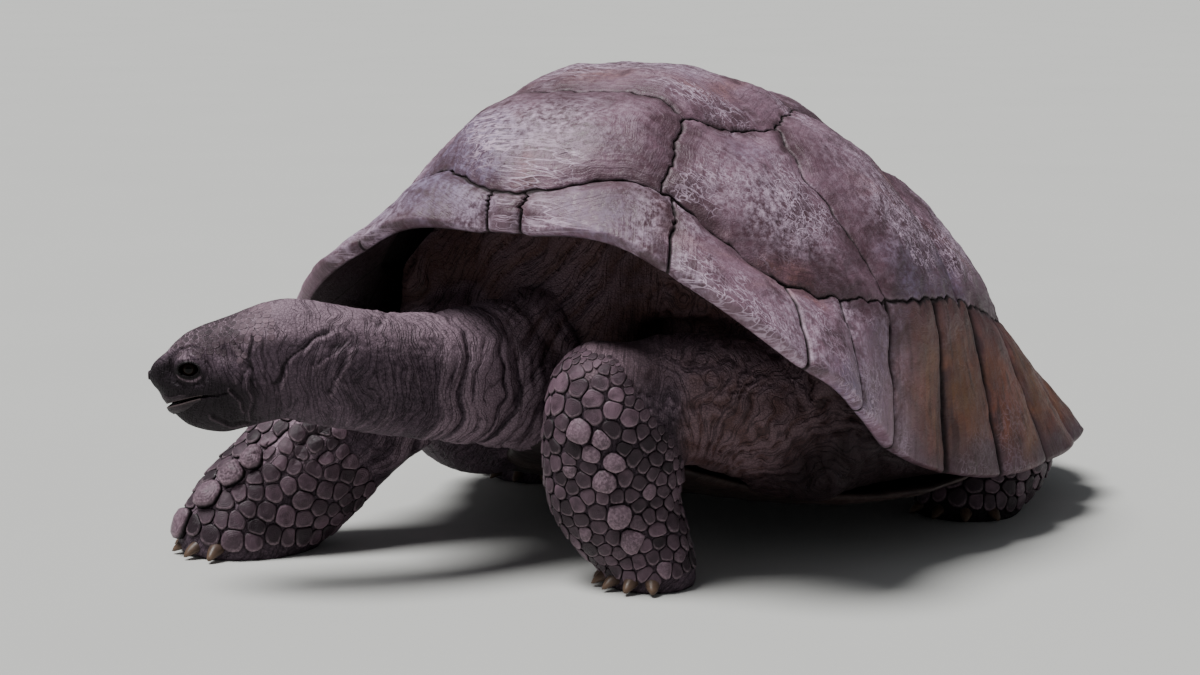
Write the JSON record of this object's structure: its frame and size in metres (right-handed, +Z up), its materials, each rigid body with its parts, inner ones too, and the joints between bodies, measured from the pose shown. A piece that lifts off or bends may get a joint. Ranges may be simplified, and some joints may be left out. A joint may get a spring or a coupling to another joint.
{
  "type": "giant tortoise",
  "caption": "Life-size giant tortoise in mid-stride, head turned to its right, with a high domed shell and scaled legs.",
  "frame": {"origin": "middle of the bounding box on the floor that the feet stand on", "axes": "+Z up, the shell's head end towards -Y, the animal's left side towards +X"},
  "size_m": [0.9922, 1.4664, 0.6621],
  "materials": {
    "shell": "worn, scratched horn scutes, mauve grey with dark seams",
    "plastron": "scuffed brown-grey horn plates",
    "skin": "dry, wrinkled dark grey hide with horny scales",
    "beak": "dark satin horn",
    "eye": "wet, glossy near-black"
  },
  "bodies": {
    "root": {"carapace": "shell", "plastron": "plastron", "torso": "skin", "neck": "skin", "head": "skin", "lower_jaw": "beak", "eye_left": "eye", "eye_right": "eye", "leg_front_left": "skin", "shoulder_left": "skin", "leg_front_right": "skin", "shoulder_right": "skin", "leg_rear_left": "skin", "leg_rear_right": "skin", "tail": "skin"}
  },
  "joints": []
}
